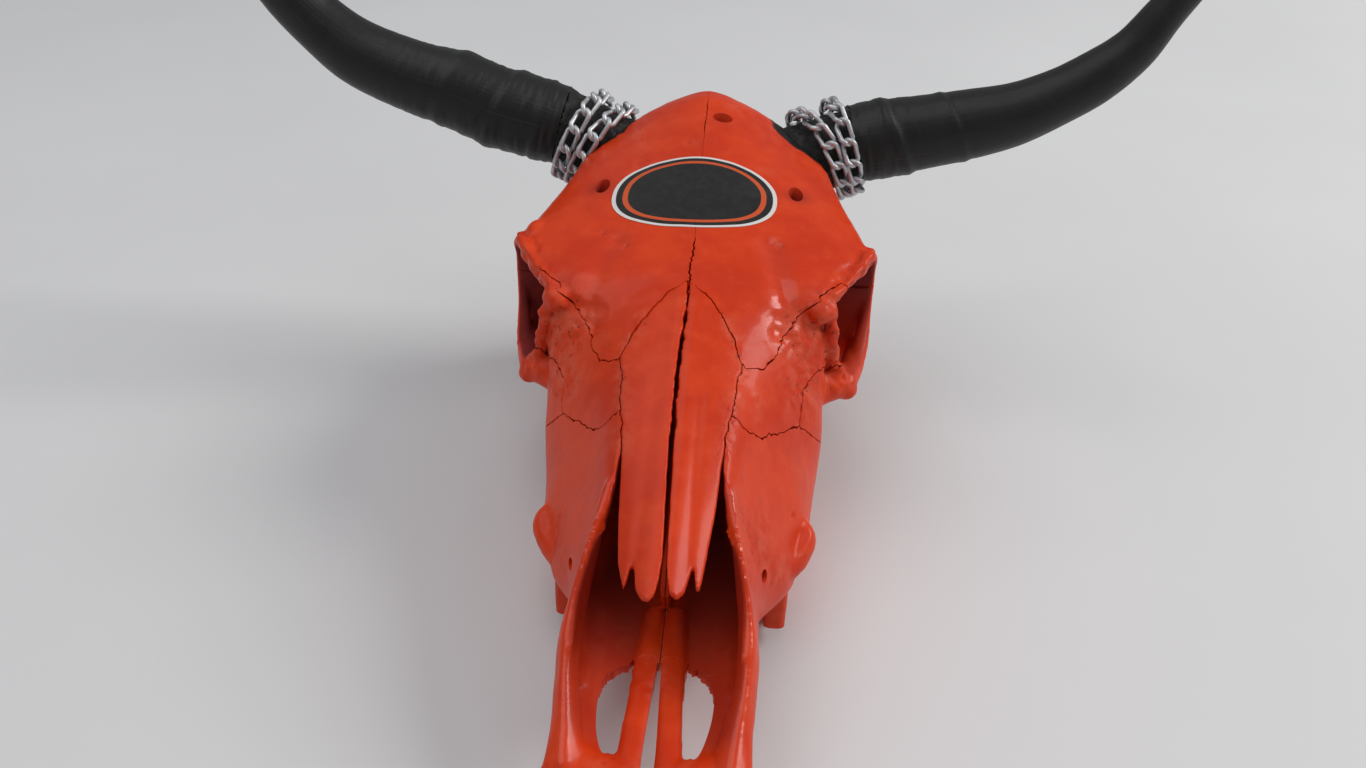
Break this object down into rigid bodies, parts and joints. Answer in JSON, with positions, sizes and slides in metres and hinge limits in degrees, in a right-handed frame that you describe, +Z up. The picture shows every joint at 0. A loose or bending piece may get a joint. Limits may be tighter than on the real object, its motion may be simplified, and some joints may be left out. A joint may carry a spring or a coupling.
{
  "type": "cow skull",
  "caption": "Horned cow skull without its lower jaw, painted over, lying on its cheek teeth, with a link chain wound twice round the root of each horn.",
  "frame": {"origin": "centre of the bounding box's bottom face, in the plane of the cheek teeth's worn ends that the skull lies on", "axes": "+X across the skull towards its own left horn, which is on the right in the picture, -Y towards the muzzle, +Z up from the floor to the forehead"},
  "size_m": [0.6812, 0.4878, 0.4122],
  "materials": {
    "cranium": "glossy red-orange spray paint over bone",
    "frontal_left": "glossy red-orange spray paint over bone",
    "frontal_right": "glossy red-orange spray paint over bone",
    "lacrimal_left": "glossy red-orange spray paint over bone",
    "lacrimal_right": "glossy red-orange spray paint over bone",
    "maxilla_left": "glossy red-orange spray paint over bone",
    "maxilla_right": "glossy red-orange spray paint over bone",
    "nasal_left": "glossy red-orange spray paint over bone",
    "nasal_right": "glossy red-orange spray paint over bone",
    "occipital": "glossy red-orange spray paint over bone",
    "premaxilla_left": "glossy red-orange spray paint over bone",
    "premaxilla_right": "glossy red-orange spray paint over bone",
    "temporal_left": "glossy red-orange spray paint over bone",
    "temporal_right": "glossy red-orange spray paint over bone",
    "zygomatic_left": "glossy red-orange spray paint over bone",
    "zygomatic_right": "glossy red-orange spray paint over bone",
    "horn_core_left": "rough black paint over bone",
    "horn_core_right": "rough black paint over bone",
    "horn_left": "satin black horn",
    "horn_right": "satin black horn",
    "chain_left": "zinc-plated steel wire",
    "chain_right": "zinc-plated steel wire"
  },
  "bodies": {
    "root": {"cranium": "cranium", "frontal_left": "frontal_left", "frontal_right": "frontal_right", "lacrimal_left": "lacrimal_left", "lacrimal_right": "lacrimal_right", "maxilla_left": "maxilla_left", "maxilla_right": "maxilla_right", "nasal_left": "nasal_left", "nasal_right": "nasal_right", "occipital": "occipital", "premaxilla_left": "premaxilla_left", "premaxilla_right": "premaxilla_right", "temporal_left": "temporal_left", "temporal_right": "temporal_right", "zygomatic_left": "zygomatic_left", "zygomatic_right": "zygomatic_right", "horn_core_left": "horn_core_left", "horn_core_right": "horn_core_right", "horn_left": "horn_left", "horn_right": "horn_right", "chain_left": "chain_left", "chain_right": "chain_right"}
  },
  "joints": []
}
